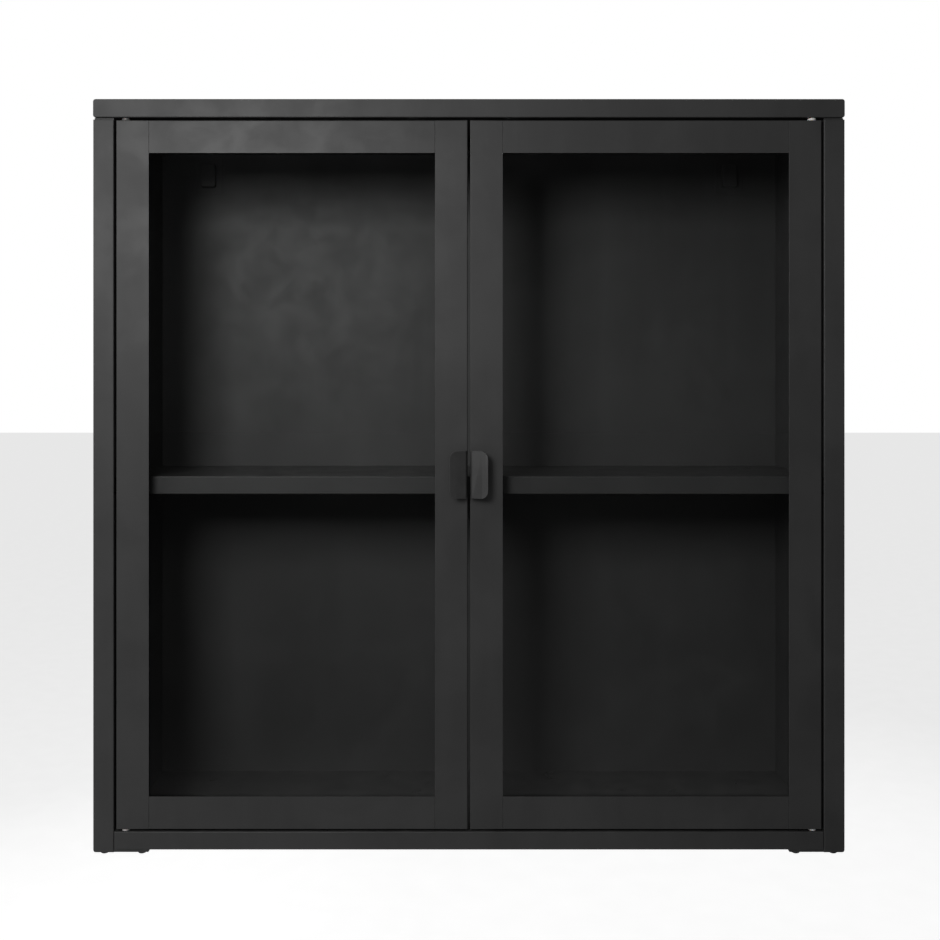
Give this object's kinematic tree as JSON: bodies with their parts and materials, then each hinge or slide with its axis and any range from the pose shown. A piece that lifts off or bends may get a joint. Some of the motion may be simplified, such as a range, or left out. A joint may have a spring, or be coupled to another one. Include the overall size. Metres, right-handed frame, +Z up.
{
  "type": "wall mounted showcase",
  "caption": "Square sheet-metal wall display cabinet with a pair of glazed, framed doors on pivot pins, flared finger tabs at the middle and a fixed shelf inside.",
  "frame": {"origin": "centre of the back panel's rear face, which lies against the wall", "axes": "+Z up, the doors face -Y, the wall is on the +Y side, +X to the right as seen from the front"},
  "size_m": [0.9, 0.2169, 0.9056],
  "materials": {
    "painted_steel": "black powder coat, satin",
    "door_steel": "black powder coat, satin",
    "handle": "black powder coat, satin",
    "glass": "clear float glass",
    "seal": "black rubber tape",
    "bushing": "white nylon",
    "catch": "black moulded plastic",
    "zinc_steel": "zinc plated"
  },
  "bodies": {
    "root": {"top_panel": "painted_steel", "bottom_panel": "painted_steel", "back_panel": "painted_steel", "shelf": "painted_steel", "left_side_panel": "painted_steel", "left_front_outer_base_screw": "painted_steel", "left_rear_outer_base_screw": "painted_steel", "left_front_inner_base_screw": "painted_steel", "left_rear_inner_base_screw": "painted_steel", "left_lower_back_screw": "painted_steel", "left_middle_back_screw": "painted_steel", "left_upper_back_screw": "painted_steel", "left_hanging_cover": "painted_steel", "left_magnetic_catch": "catch", "left_lower_bushing": "bushing", "left_upper_bushing": "bushing", "right_side_panel": "painted_steel", "right_front_outer_base_screw": "painted_steel", "right_rear_outer_base_screw": "painted_steel", "right_front_inner_base_screw": "painted_steel", "right_rear_inner_base_screw": "painted_steel", "right_lower_back_screw": "painted_steel", "right_middle_back_screw": "painted_steel", "right_upper_back_screw": "painted_steel", "right_hanging_cover": "painted_steel", "right_magnetic_catch": "catch", "right_lower_bushing": "bushing", "right_upper_bushing": "bushing"},
    "left_door": {"left_door_hinge_stile": "door_steel", "left_door_meeting_stile": "door_steel", "left_door_top_rail": "door_steel", "left_door_bottom_rail": "door_steel", "left_door_glass": "glass", "left_door_glass_seal": "seal", "left_door_hinge_lower_glass_clip": "zinc_steel", "left_door_hinge_upper_glass_clip": "zinc_steel", "left_door_meeting_lower_glass_clip": "zinc_steel", "left_door_meeting_upper_glass_clip": "zinc_steel", "left_door_handle": "handle", "left_door_lower_handle_screw": "zinc_steel", "left_door_upper_handle_screw": "zinc_steel", "left_door_lower_pin": "zinc_steel", "left_door_upper_pin": "zinc_steel"},
    "right_door": {"right_door_hinge_stile": "door_steel", "right_door_meeting_stile": "door_steel", "right_door_top_rail": "door_steel", "right_door_bottom_rail": "door_steel", "right_door_glass": "glass", "right_door_glass_seal": "seal", "right_door_hinge_lower_glass_clip": "zinc_steel", "right_door_hinge_upper_glass_clip": "zinc_steel", "right_door_meeting_lower_glass_clip": "zinc_steel", "right_door_meeting_upper_glass_clip": "zinc_steel", "right_door_handle": "handle", "right_door_lower_handle_screw": "zinc_steel", "right_door_upper_handle_screw": "zinc_steel", "right_door_lower_pin": "zinc_steel", "right_door_upper_pin": "zinc_steel"}
  },
  "joints": [
    {"name": "left_door_hinge", "type": "hinge", "parent": "root", "child": "left_door", "pos_m": [-0.412, -0.1935, 0.001], "axis": [0, 0, -1], "range_deg": [0, 110]},
    {"name": "right_door_hinge", "type": "hinge", "parent": "root", "child": "right_door", "pos_m": [0.412, -0.1935, 0.001], "axis": [0, 0, 1], "range_deg": [0, 110]}
  ]
}
